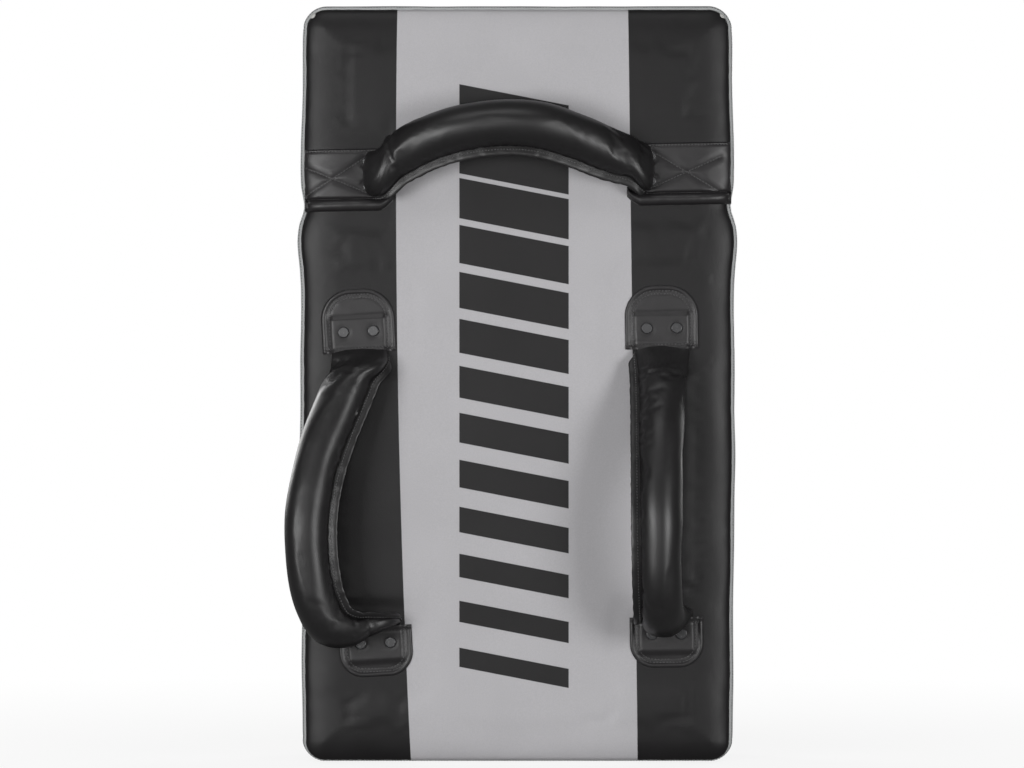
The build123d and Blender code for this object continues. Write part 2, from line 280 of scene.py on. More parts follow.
# ------------------------------------------------------------------ materials
class Number:
    """A number in a material. Sums and products of it add the nodes that work them out."""

    def __init__(self, finish, socket):
        self.finish = finish
        self.socket = socket

    def math(self, operation, *terms, clamp=False):
        settings = {"operation": operation, "use_clamp": clamp}
        return self.finish.node("ShaderNodeMath", settings, dict(enumerate(terms)))

    def __add__(self, other):
        return self.math("ADD", self, other)

    def __sub__(self, other):
        return self.math("SUBTRACT", self, other)

    def __rsub__(self, other):
        return self.math("SUBTRACT", other, self)

    def __mul__(self, other):
        return self.math("MULTIPLY", self, other)

    def __truediv__(self, other):
        return self.math("DIVIDE", self, other)

    def __pow__(self, other):
        return self.math("POWER", self, other)

    __radd__ = __add__
    __rmul__ = __mul__

    def clamp(self):
        return self.math("ADD", self, 0.0, clamp=True)

    def least(self, other):
        return self.math("MINIMUM", self, other)

    def fraction(self):
        return self.math("FRACT", self)

    def wave(self):
        return self.math("SINE", self)


class Finish:
    """One material, or the world, and the nodes that make it."""

    def __init__(self, name, library=None):
        self.material = (bpy.data.materials if library is None else library).new(name)
        self.material.use_nodes = True
        self.tree = self.material.node_tree
        self.tree.nodes.clear()
        place = self.node("ShaderNodeTexCoord", {}, {}, "Object")
        self.place = place
        self.x, self.y, self.z = (self.node("ShaderNodeSeparateXYZ", {}, {0: place}, axis) for axis in "XYZ")

    def node(self, kind, settings, sockets, output=0):
        """Adds a node: its settings first, then a value or a link for each of its sockets."""
        node = self.tree.nodes.new(kind)
        for key, value in settings.items():
            setattr(node, key, value)
        for key, value in sockets.items():
            if isinstance(value, Number):
                self.tree.links.new(value.socket, node.inputs[key])
            else:
                node.inputs[key].default_value = value
        return Number(self, node.outputs[output])

    def noise(self, scale, detail=2.0, rough=0.5, at=None):
        sockets = {"Vector": at or self.place, "Scale": scale, "Detail": detail, "Roughness": rough}
        return self.node("ShaderNodeTexNoise", {"noise_dimensions": "3D"}, sockets)

    def cells(self, scale):
        return self.node("ShaderNodeTexVoronoi", {"feature": "F1"}, {"Vector": self.place, "Scale": scale})

    def stretched(self, x, y, z):
        """The place with each axis times its own number, for a pattern that runs one way."""
        return self.node("ShaderNodeMapping", {}, {"Vector": self.place, "Scale": (x, y, z)})

    def mix(self, factor, first, second):
        """The first colour where the factor is 0 and the second where it is 1."""
        first, second = (c if isinstance(c, Number) else (*c, 1.0) for c in (first, second))
        return self.node("ShaderNodeMix", {"data_type": "RGBA"}, {0: factor, 6: first, 7: second}, 2)

    def shader(self, sockets):
        return self.node("ShaderNodeBsdfPrincipled", {}, sockets)

    def skin(self, base, roughness, height, strength, depth, **more):
        """The finished material: its colour, roughness and relief, then any other value, by its socket."""
        relief = {"Height": height, "Strength": strength, "Distance": depth}
        normal = self.node("ShaderNodeBump", {}, relief, "Normal")
        sockets = {"Base Color": base, "Roughness": roughness.clamp(), "Normal": normal}
        for key, value in more.items():
            sockets[key.replace("_", " ")] = value
        return self.done(self.shader(sockets))

    def done(self, shader, kind="ShaderNodeOutputMaterial"):
        output = self.tree.nodes.new(kind)
        self.tree.links.new(shader.socket, output.inputs["Surface"])
        return self.material


def tone(colour, share, lift=0.0):
    """A darker or lighter tone of a colour."""
    return tuple(share * c + lift for c in colour)


def leather_grain(finish):
    """Pebbles about a millimetre across with fine pores between them."""
    return finish.cells(900.0) * 0.7 + finish.noise(2600.0, 3.0) * 0.5


def leather(name, colour, rough=0.46, grain=0.16, scuff=0.0):
    """Synthetic leather in one colour, with mottling, grain and a little wear."""
    finish = Finish(name)
    mottle = finish.noise(22.0, 4.0)
    fine = finish.noise(240.0, 3.0)
    base = finish.mix((mottle * 0.7 + fine * 0.5 - 0.1).clamp(), tone(colour, 0.78), tone(colour, 1.25, 0.004))
    roughness = mottle * 0.14 + fine * 0.10 + (rough - 0.12)
    if scuff:
        streaks = finish.noise(14.0, 8.0, 0.7, at=finish.stretched(1.0, 1.0, 1.6))
        rubbed = ((streaks - 0.52) * 3.0).clamp() * scuff
        base = finish.mix(rubbed, base, tone(colour, 1.0, 0.02))
        roughness = roughness + rubbed * 0.25
    return finish.skin(base, roughness, leather_grain(finish), grain, 0.4 * MM)


def printed_leather(name, black, grey):
    """Black synthetic leather with a wide grey band printed down it and slanting black bars on the band."""
    finish = Finish(name)

    def between(value, low, high):
        """1 between two places and 0 outside them, with the print's soft edge."""
        return ((value - low) / PRINT_EDGE).clamp().least(((high - value) / PRINT_EDGE).clamp())

    share = finish.z / HEIGHT
    left = -0.106 - 0.038 * share + 0.0245 * share * share
    right = 0.1195 - 0.0095 * share
    band = between(finish.x, left, right)
    slant = finish.z + finish.x * math.tan(math.radians(11))
    rank = (slant - BAR_START) / BAR_PITCH
    thickness = 0.42 + 0.045 * rank
    phase = rank.fraction()
    step = PRINT_EDGE / BAR_PITCH
    bar = (phase / step).clamp().least(((thickness - phase) / step).clamp())
    bar = bar.least(between(finish.x, -0.058, 0.051))
    bar = bar.least(between(slant, BAR_START, BAR_START + BARS * BAR_PITCH))
    ink = band * (1.0 - bar)
    mottle = finish.noise(18.0, 4.0)
    speckle = finish.noise(900.0, 2.0)
    black_tone = finish.mix((mottle * 1.2 - 0.1).clamp(), tone(black, 0.8), tone(black, 1.3))
    grey_tone = finish.mix((speckle * 0.8 + mottle * 0.4 - 0.1).clamp(), tone(grey, 0.86), tone(grey, 1.12))
    roughness = mottle * 0.12 + speckle * 0.08 + ink * 0.08 + 0.36
    relief = leather_grain(finish) + ink * 0.4
    base = finish.mix(ink, black_tone, grey_tone)
    return finish.skin(base, roughness, relief, 0.16, 0.4 * MM, Specular_IOR_Level=0.34)


def thread_finish(name, colour):
    finish = Finish(name)
    twist = ((finish.x + finish.y + finish.z) * 9000.0).wave()
    fuzz = finish.noise(3000.0, 2.0)
    base = finish.mix((fuzz + twist * 0.2).clamp(), tone(colour, 0.6), tone(colour, 1.5))
    return finish.skin(base, fuzz * 0.2 + 0.55, twist + fuzz, 0.4, 0.1 * MM, Sheen_Weight=0.3)


def woven_finish(name, colour):
    finish = Finish(name)
    over = (finish.x * 2800.0).wave() * (finish.z * 2800.0).wave()
    weave = over + (finish.y * 2800.0).wave() * 0.5
    fuzz = finish.noise(1500.0, 3.0)
    base = finish.mix((weave * 0.3 + fuzz).clamp(), tone(colour, 0.6), tone(colour, 1.5))
    return finish.skin(base, fuzz * 0.2 + 0.65, weave, 0.5, 0.3 * MM, Sheen_Weight=0.2)


def foam_finish(name, colour, cell):
    finish = Finish(name)
    pores = finish.cells(cell)
    base = finish.mix((pores * 0.8 + finish.noise(30.0, 3.0) * 0.4).clamp(), tone(colour, 0.75), colour)
    return finish.skin(base, pores * 0.1 + 0.82, pores, 0.5, 0.6 * MM)


def painted_steel(name, colour):
    """Dark paint on a pressed cap, rubbed lighter in scattered spots."""
    finish = Finish(name)
    rub = finish.noise(420.0, 4.0)
    worn = ((rub - 0.58) * 5.0).clamp()
    return finish.skin(
        finish.mix(worn, colour, tone(colour, 1.0, 0.10)), rub * 0.2 + 0.24, rub, 0.1, 0.2 * MM,
        Metallic=worn * 0.5 + 0.35, Coat_Weight=0.4, Coat_Roughness=0.2,
    )


def brushed_steel(name, colour):
    finish = Finish(name)
    brush = finish.noise(300.0, 4.0, at=finish.stretched(12.0, 1.0, 1.0))
    base = finish.mix(brush, tone(colour, 0.75), colour)
    return finish.skin(base, brush * 0.2 + 0.28, brush, 0.15, 0.1 * MM, Metallic=1.0)


def seen_and_lit(finish, kind, light):
    """A glow that looks white and lights the object by less."""
    seen = finish.node("ShaderNodeLightPath", {}, {}, "Is Camera Ray")
    dim = finish.node(kind, {}, {"Color": (1.0, 1.0, 1.0, 1.0), "Strength": light})
    white = finish.node(kind, {}, {"Color": (1.0, 1.0, 1.0, 1.0), "Strength": 1.0})
    return finish.node("ShaderNodeMixShader", {}, {0: seen, 1: dim, 2: white})


def pale_floor(name, colour, near, far, light):
    """A pale floor that goes over into the plain surroundings away from the object."""
    finish = Finish(name)
    reach = (finish.x * finish.x + finish.y * finish.y) ** 0.5
    away = ((reach - near) / (far - near)).clamp() * 0.15 + 0.85
    grain = finish.noise(60.0, 3.0)
    base = finish.mix(grain, tone(colour, 0.98), colour)
    ground = finish.shader({"Base Color": base, "Roughness": grain * 0.1 + 0.7})
    glow = seen_and_lit(finish, "ShaderNodeEmission", light)
    return finish.done(finish.node("ShaderNodeMixShader", {}, {0: away, 1: ground, 2: glow}))


def plain_surroundings(name, light):
    finish = Finish(name, bpy.data.worlds)
    return finish.done(seen_and_lit(finish, "ShaderNodeBackground", light), "ShaderNodeOutputWorld")


MATERIALS = {}


def finishes():
    """Every material, made once."""
    if MATERIALS:
        return MATERIALS
    look = cover_settings()
    black, grey = tuple(look.black), tuple(look.grey)
    MATERIALS.update(
        back_cover=printed_leather("printed_leather", black, grey),
        strike_cover=leather("strike_leather", black, scuff=0.5),
        gusset_leather=leather("gusset_leather", tuple(look.gusset), rough=0.5),
        grip_leather=leather("grip_leather", tone(black, 0.9), rough=0.40, grain=0.12),
        # Patches and straps: the panels' black made 1.9 times lighter, a lit copy of the same leather whose extra
        # lightness is painted sheen.
        patch_leather=leather("patch_leather", tone(black, 1.9), rough=0.42),
        inner_leather=leather("inner_leather", (0.05, 0.048, 0.045), rough=0.7),
        black_thread=thread_finish("black_thread", (0.05, 0.049, 0.05)),
        webbing=woven_finish("black_webbing", (0.02, 0.02, 0.02)),
        firm_foam=foam_finish("firm_foam", (0.55, 0.55, 0.53), 700.0),
        soft_foam=foam_finish("soft_foam", (0.75, 0.72, 0.55), 450.0),
        black_rivet=painted_steel("black_rivet", (0.03, 0.03, 0.032)),
        washer_steel=brushed_steel("washer_steel", (0.55, 0.55, 0.56)),
    )
    return MATERIALS


# ------------------------------------------------------------------ the padded body's shape
def side_reach(z, drawn=1.0):
    """Half width of the body at a height: a slight bow, drawn in by a share where the straps pull on it."""
    look = cover_settings()
    bow = look.bow * np.sin(np.pi * np.clip(z / HEIGHT, 0, 1))
    pinch = look.strap_pinch * hump(z - look.pinch_height, 14 * MM)
    bulge = 0.65 * look.strap_pinch * hump(z - look.pinch_height + 34 * MM, 25 * MM)
    uneven = look.unevenness * (0.6 * np.sin(z * 23 + 1) + 0.4 * np.sin(z * 61 + 2))
    return HALF_WIDTH - 0.6 * MM + bow + uneven + drawn * (bulge - pinch)


def seam_depth(x, z, drawn=1.0):
    """How far a point lies inside the panels' seam line."""
    nominal = np.abs(x) * SEAM_HALF / (side_reach(z, drawn) - SEAM_TUCK)
    a = nominal - (SEAM_HALF - SEAM_CORNER)
    b = np.abs(z - SEAM_MIDDLE) - (SEAM_TALL - SEAM_CORNER)
    outside = np.hypot(np.maximum(a, 0), np.maximum(b, 0)) + np.minimum(np.maximum(a, b), 0)
    return SEAM_CORNER - outside


def calm(x, z):
    """From 0 where the panel lies flat under a patch or a strap to 1 in the open."""
    free = np.ones_like(x)
    for name in ANCHORS:
        low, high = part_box(name)
        dx = np.maximum(np.maximum(low.x - x, x - high.x), 0)
        dz = np.maximum(np.maximum(low.z - z, z - high.z), 0)
        free = np.minimum(free, smooth(np.hypot(dx, dz) / 0.03))
    return free


def crown(x, z, drawn=1.0):
    """How far a panel falls back from its flat face, rounding over to its seam."""
    look = cover_settings()
    depth = np.clip(seam_depth(x, z, drawn), 0, None)
    t = np.clip(1 - depth / look.crown_width, 0, 1)
    fall = look.crown_depth * (1 - (1 - t ** 2.1) ** (1 / 2.1))
    flat = np.stack([x, np.zeros_like(x), z], axis=1)
    soft = look.undulation * (lumps(flat, 0.11, 1) + 0.45 * lumps(flat, 0.045, 2))
    pucker = 0.7 * MM * lumps(flat, 0.013, 3) * np.exp(-depth / (8 * MM)) * smooth(depth / (2 * MM))
    return fall + soft * calm(x, z) * smooth(depth / 0.02) + pucker


def back_face(x, z):
    """The back panel's outer face, as Y."""
    x, z = (np.atleast_1d(np.asarray(v, float)) for v in (x, z))
    return BACK + crown(x, z)


def rounded(a, b, half_a, half_b, radius):
    """Moves the points of a rectangle's grid so that its corners become round."""
    u = np.clip((np.abs(a) - (half_a - radius)) / radius, 0, 1)
    v = np.clip((np.abs(b) - (half_b - radius)) / radius, 0, 1)
    new_a = np.where(u > 0, np.sign(a) * (half_a - radius + radius * u * np.sqrt(1 - v * v / 2)), a)
    new_b = np.where(v > 0, np.sign(b) * (half_b - radius + radius * v * np.sqrt(1 - u * u / 2)), b)
    return new_a, new_b


def panel(name, face, outward, step, drawn):
    """One of the two large panels, as a crowned sheet with its edge tucked into the seam."""
    columns = spaced(-SEAM_HALF, SEAM_HALF, step, 1.6 * MM, SEAM_CORNER)
    rows = spaced(-SEAM_TALL, SEAM_TALL, step, 1.6 * MM, SEAM_CORNER)
    piece, column, row = grid(name, len(columns) - 1, len(rows) - 1)
    x, z = rounded(columns[column], rows[row], SEAM_HALF, SEAM_TALL, SEAM_CORNER)
    z = z + SEAM_MIDDLE
    x = x * (side_reach(z, drawn) - SEAM_TUCK) / SEAM_HALF
    y = face - outward * crown(x, z, drawn)
    edge = (column == 0) | (column == len(columns) - 1) | (row == 0) | (row == len(rows) - 1)
    y = y - outward * edge * 1.0 * MM
    put_points(piece, np.stack([x, y, z], axis=1))
    face_towards(piece, (0, outward, 0))
    firm = 1 - smooth(seam_depth(x, z, drawn) / 0.05)
    hold(piece, np.maximum(firm, 1 - calm(x, z)) if drawn else firm)
    settle(piece, 0.006, 1.3 * MM)
    return thicken(piece, 60)


def seam_line(step):
    """The seam's outline as points (x, z) and their outward directions, from the middle of the bottom."""
    flat, upright = SEAM_HALF - SEAM_CORNER, SEAM_TALL - SEAM_CORNER
    turns = max(4, round(SEAM_CORNER * math.pi / 2 / (step / 2)))
    points, outward = [], []

    def straight(here, there):
        run = there - here
        count = max(1, round(np.hypot(*run) / step))
        points.extend(here + run * k / count for k in range(count))
        outward.extend([np.array((run[1], -run[0])) / np.hypot(*run)] * count)

    def away(angle):
        return np.array((math.cos(angle), math.sin(angle)))

    here = np.array((0.0, -SEAM_TALL))
    for x, z, first in ((flat, -upright, -90), (flat, upright, 0), (-flat, upright, 90), (-flat, -upright, 180)):
        middle, first = np.array((x, z)), math.radians(first)
        straight(here, middle + SEAM_CORNER * away(first))
        for k in range(turns):
            outward.append(away(first + math.pi / 2 * k / turns))
            points.append(middle + SEAM_CORNER * outward[-1])
        here = middle + SEAM_CORNER * away(first + math.pi / 2)
    straight(here, np.array((0.0, -SEAM_TALL)))
    points, outward = np.array(points), np.array(outward)
    points[:, 1] += SEAM_MIDDLE
    return points, outward


def reached(points, y):
    """The seam line's points as they lie at a depth: drawn in fully at the back and not at all in front."""
    drawn = np.clip((SEAM_DEPTH - y) / (2 * SEAM_DEPTH), 0, 1)
    moved = points.copy()
    moved[:, 0] *= (side_reach(points[:, 1], drawn) - SEAM_TUCK) / SEAM_HALF
    return moved


def seam_y():
    """How far each seam lies from the middle of the gusset."""
    return SEAM_DEPTH - cover_settings().crown_depth


def gusset_offset(points, outward, y):
    """How far the gusset stands out from the seam line, between its two rolled edges."""
    look, seam = cover_settings(), seam_y()
    near = np.clip((np.abs(y) - (seam - 4 * MM)) / (4 * MM), 0, 1)
    roll = SEAM_TUCK * np.sqrt(1 - near ** 2)
    place = np.stack([points[:, 0], y * 0.6, points[:, 1]], axis=1)
    belly = look.belly * (1 - (y / seam) ** 2) + 0.5 * MM * lumps(place, 0.05, 5)
    creases = 0.35 * MM * lumps(place * np.array((1, 0.3, 1)), 0.008, 6) * smooth(near * 1.5)
    stands = np.where(outward[:, 1] < 0, 1 + 0.85 * outward[:, 1], 1.0)
    return (roll + belly * (1 - near) + creases) * stands


def gusset(name, points, outward):
    """One strip of the gusset, from the back seam round to the strike seam."""
    seam = seam_y()
    rows = spaced(-seam, seam, 5 * MM, 0.9 * MM, 6 * MM)
    piece, column, row = grid(name, len(points) - 1, len(rows) - 1)
    p, n, y = points[column], outward[column], rows[row]
    offset = gusset_offset(p, n, y)
    ends = np.minimum(column, len(points) - 1 - column)
    offset = offset - 0.7 * MM * np.exp(-ends / 1.2)
    xz = reached(p, y) + n * offset[:, None]
    xz[:, 1] = np.maximum(xz[:, 1], 0.05 * MM)
    put_points(piece, np.stack([xz[:, 0], y, xz[:, 1]], axis=1))
    middle = outward[len(outward) // 2]
    face_towards(piece, (middle[0], 0, middle[1]))
    return thicken(piece, 60)


# ------------------------------------------------------------------ stitches
def stitch_shape():
    """One stitch of thread, lying along X: a slim bead, a little flattened."""
    clear_selection()
    bpy.ops.mesh.primitive_uv_sphere_add(segments=6, ring_count=4, radius=1)
    bead = start("stitch")
    with editing(bead):
        bpy.ops.transform.rotate(value=math.pi / 2, orient_axis="Y", center_override=(0, 0, 0))
    corners = points_of(bead)
    faces = [tuple(face.vertices) for face in bead.data.polygons]
    bpy.data.objects.remove(bead)
    return corners, faces


def stitches(name, rows, pitch, radius=0.55 * MM):
    """Separate stitches along rows of points. A row is (points, outward directions)."""
    corners, faces = stitch_shape()
    made_points, made_faces = [], []
    for points, outward in rows:
        points, outward = np.asarray(points, float), np.asarray(outward, float)
        if outward.ndim == 1:
            outward = np.broadcast_to(outward, points.shape)
        run = run_of(points)
        count = max(1, int(run[-1] / pitch))
        for k in range(count):
            middle = (k + 0.5) * run[-1] / count
            ends = [read_off(middle + side * pitch * 0.36, run, points) for side in (-1, 1)]
            up = read_off(middle, run, outward)
            along = ends[1] - ends[0]
            long = np.linalg.norm(along)
            if long < 1e-6:
                continue
            along = along / long
            across = np.cross(up, along)
            across = across / max(np.linalg.norm(across), 1e-9)
            up = np.cross(along, across)
            base = len(made_points) * len(corners)
            centre = (ends[0] + ends[1]) / 2
            made_points.append(
                centre + corners[:, :1] * along * long / 2
                + corners[:, 1:2] * across * radius + corners[:, 2:3] * up * radius * 0.8
            )
            made_faces += [tuple(base + v for v in face) for face in faces]
    mesh = bpy.data.meshes.new(name)
    mesh.from_pydata(np.concatenate(made_points).tolist(), [], made_faces)
    piece = bpy.data.objects.new(name, mesh)
    bpy.context.scene.collection.objects.link(piece)
    face_outwards(piece)
    only(piece)
    bpy.ops.object.shade_smooth()
    return piece


# ------------------------------------------------------------------ anchors on the back panel
def neck(rivets, joint, setback, far):
    """An anchor's origin on the panel and its two directions: away from the grip, and across it."""
    low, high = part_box(rivets)
    along = np.array(joint["axis"], float) * (1 if far else -1)
    middle = np.array(((low.x + high.x) / 2, 0, (low.z + high.z) / 2))
    across = np.cross(along, OUT)
    return middle - along * setback, along, across


def joint_of(body):
    return next(joint for joint in frame["joints"] if joint["child"] == body)


def on_panel(origin, along, across, a, b, rise):
    """Points at a and b from an anchor's origin, a rise above the panel's own surface."""
    flat = origin + np.outer(a, along) + np.outer(b, across)
    flat[:, 1] = back_face(flat[:, 0], flat[:, 2]) - rise
    return flat


def patch_rise(a, b):
    """A patch's height above the panel: it rises over the tab and arches over the grip at its lip."""
    tab_a = smooth((LIP + 38.5 * MM - a) / (6 * MM))
    tab_b = smooth((31 * MM - np.abs(b)) / (6 * MM))
    arch = 2.2 * MM * np.exp(-np.clip(a - LIP, 0, None) / (4.5 * MM)) * smooth((35 * MM - np.abs(b)) / (12 * MM))
    return PATCH_RISE + TAB_RISE * tab_a * tab_b + arch


def patch_outline(length, corner, inset=0.0):
    """A D-shaped line inside a patch's edge, from one end of its lip round to the other."""
    half, end = PATCH_HALF - inset, LIP + length - inset
    radius = corner - inset
    turn = np.linspace(0, math.pi / 2, 14)
    a = np.concatenate([[LIP + 1.5 * MM], end - radius + radius * np.sin(turn)])
    b = np.concatenate([[half], half - radius + radius * np.cos(turn)])
    return np.concatenate([a, a[::-1]]), np.concatenate([b, -b[::-1]])


def patch_half(a, length, corner):
    beyond = np.clip(a - (LIP + length - corner), 0, corner)
    return PATCH_HALF - corner + np.sqrt(np.maximum(corner ** 2 - beyond ** 2, 0))


def resample(points, step):
    run = run_of(points)
    return read_off(np.linspace(0, run[-1], max(2, round(run[-1] / step))), run, points)


def side_patch(anchor, place, length, corner):
    origin, along, across = place
    straight = spaced(LIP, LIP + length - corner, 1.8 * MM, 0.7 * MM, 3 * MM)
    curved = LIP + length - corner + corner * np.sin(np.linspace(0, math.pi / 2, 22))[1:]
    a_lines = np.concatenate([straight, curved])
    b_lines = spaced(-1, 1, 0.045, 0.02, 0.1)
    piece, column, row = grid(anchor + "_cover", len(a_lines) - 1, len(b_lines) - 1)
    a, t = a_lines[column], b_lines[row]
    half = patch_half(a, length, corner)
    b = t * half
    rise = patch_rise(a, b)
    flat = np.stack([a, b, np.zeros_like(a)], axis=1)
    inside = np.minimum(half - np.abs(b), LIP + length - a)
    corner_run = np.clip(a - (LIP + length - corner), 0, None)
    reach = corner - np.hypot(corner_run, np.clip(np.abs(b) - (PATCH_HALF - corner), 0, None))
    inside = np.where(corner_run > 0, np.minimum(inside, reach), inside)
    groove = sum(hump(inside - inset, 0.8 * MM) for inset in PATCH_ROWS)
    groove = groove * smooth((a - LIP) / (3 * MM))
    hem = hump(a - LIP - PATCH_HEM, 0.9 * MM)
    rise = rise - 0.6 * MM * groove - 0.7 * MM * hem
    rise = rise + 0.7 * MM * hump(inside - 2.4 * MM, 1.7 * MM) * smooth((a - LIP) / (3 * MM))
    rise = rise + 0.6 * MM * hump(a - LIP - 2 * MM, 1.8 * MM)
    rise = rise - 0.9 * MM * np.clip(1 - inside / (1.0 * MM), 0, 1) ** 2
    rise = rise + 0.22 * MM * lumps(flat, 0.009, 11) + 0.25 * MM * lumps(flat, 0.02, 12)
    rise = rise + 0.8 * MM * lumps(flat, 0.016, 13) * np.exp(-(a - LIP) / (3 * MM))
    setback = SETBACKS[anchor.split("_")[1]]
    for side in (-1, 1):
        near = np.hypot(a - setback, b - side * 14.75 * MM)
        rise = np.where(near < 9 * MM, rise - 0.45 * MM * smooth((9 * MM - near) / (4 * MM)), rise)
    put_points(piece, on_panel(origin, along, across, a, b, rise))
    face_towards(piece, OUT)
    return thicken(piece, 50)


def tab(anchor, place):
    """The webbing tab under a patch: a slab with its corners and edges rounded."""
    origin, along, across = place
    clear_selection()
    bpy.ops.mesh.primitive_cube_add(size=1)
    piece = start(anchor + "_tab_webbing")
    with editing(piece):
        bpy.ops.transform.resize(value=(28 * MM, 50 * MM, TAB_RISE - 0.6 * MM), center_override=(0, 0, 0))
        bpy.ops.mesh.bevel(offset=1 * MM, segments=3, affect="EDGES")
    local = points_of(piece)
    a, b = local[:, 0] + LIP + 3.5 * MM + 14 * MM, local[:, 1]
    put_points(piece, on_panel(origin, along, across, a, b, local[:, 2] + TAB_RISE / 2))
    face_outwards(piece)
    return shade(piece, 40)


# ------------------------------------------------------------------ the top grip's straps
def off_line(a, b, ends):
    """Distance from a stretch of stitching."""
    (a0, b0), (a1, b1) = ends
    along = np.clip(((a - a0) * (a1 - a0) + (b - b0) * (b1 - b0)) / ((a1 - a0) ** 2 + (b1 - b0) ** 2), 0, 1)
    return np.hypot(a - a0 - along * (a1 - a0), b - b0 - along * (b1 - b0))


def strap_climb(a):
    """How far the strap's lower edge and welt climb where they turn up along the grip."""
    return 9 * MM * np.clip(-a / (14 * MM), 0, 1) ** 1.6


def strap_rise(a, b):
    """A strap's height above the panel: flat, with a rolled welt along its lower edge."""
    flat = STRAP_RISE * smooth((25.4 * MM - b) / (1.6 * MM)) ** 0.5
    radius = 5.6 * MM * (1 - 0.35 * np.clip(-a / (14 * MM), 0, 1))
    welt = 6.0 * MM * np.sqrt(np.clip(1 - ((b - WELT) / radius) ** 2, 0, 1))
    dip = 1.1 * MM * hump(b - FOLD, 1.0 * MM)
    return np.where(b > FOLD, flat - dip, np.maximum(welt, 0.3 * MM))


def top_strap(name, place, length, down):
    origin, along, across = place
    a_lines = spaced(-14 * MM, length, 1.5 * MM, 0.9 * MM, 4 * MM)
    b_lines = np.concatenate([
        np.linspace(-36.6, -24.4, 16, endpoint=False), np.linspace(-24.4, 22, 36, endpoint=False),
        np.linspace(22, 25.4, 6),
    ]) * MM
    piece, column, row = grid(name, len(a_lines) - 1, len(b_lines) - 1)
    a, b = a_lines[column], b_lines[row]
    rise = strap_rise(a, b)
    flat = np.stack([a, b, np.zeros_like(a)], axis=1)
    nearest = np.minimum(*(off_line(a, b, ends) for ends in CROSS))
    face = smooth((b + 24 * MM) / (2 * MM))
    rise = rise - 0.7 * MM * hump(nearest, 1.1 * MM) * face
    rise = rise + 0.8 * MM * smooth(nearest / (7 * MM)) * face * smooth((25 * MM - b) / (5 * MM))
    rise = rise - 0.5 * MM * hump(b - 23 * MM, 0.8 * MM)
    rise = rise + 0.3 * MM * lumps(flat, 0.012, 21)
    ruffle = lumps(flat * np.array((1, 0.25, 1)), 0.007, 22)
    rise = rise + 0.7 * MM * ruffle * smooth((-25 * MM - b) / (3 * MM)) * smooth((rise - 1 * MM) / (2 * MM))
    for side in (-1, 1):
        near = np.hypot(a - SETBACKS["strap"], b - side * 12.5 * MM)
        rise = np.where(near < 9 * MM, np.minimum(rise, 2.9 * MM + 0.1 * (near - 5 * MM)), rise)
    rise = rise * smooth((a + 14.5 * MM) / (2 * MM))
    b = b + strap_climb(a) * smooth((4 * MM - b) / (20 * MM))
    put_points(piece, on_panel(origin, along, across * down, a, b, rise))
    face_towards(piece, OUT)
    return thicken(piece, 50, 1.2 * MM)


def strap_rows(place, length, down):
    origin, along, across = place
    edges = [((-2 * MM, 23 * MM), (length, 23 * MM)), ((-2 * MM, FOLD), (length, FOLD))]
    rows = []
    for ends in [*CROSS, *edges]:
        line = resample(np.array(ends), 2 * MM)
        line = line[line[:, 0] < length - 0.5 * MM]
        rise = strap_rise(line[:, 0], line[:, 1]) + 0.1 * MM
        rows.append((on_panel(origin, along, across * down, line[:, 0], line[:, 1], rise), OUT))
    return rows


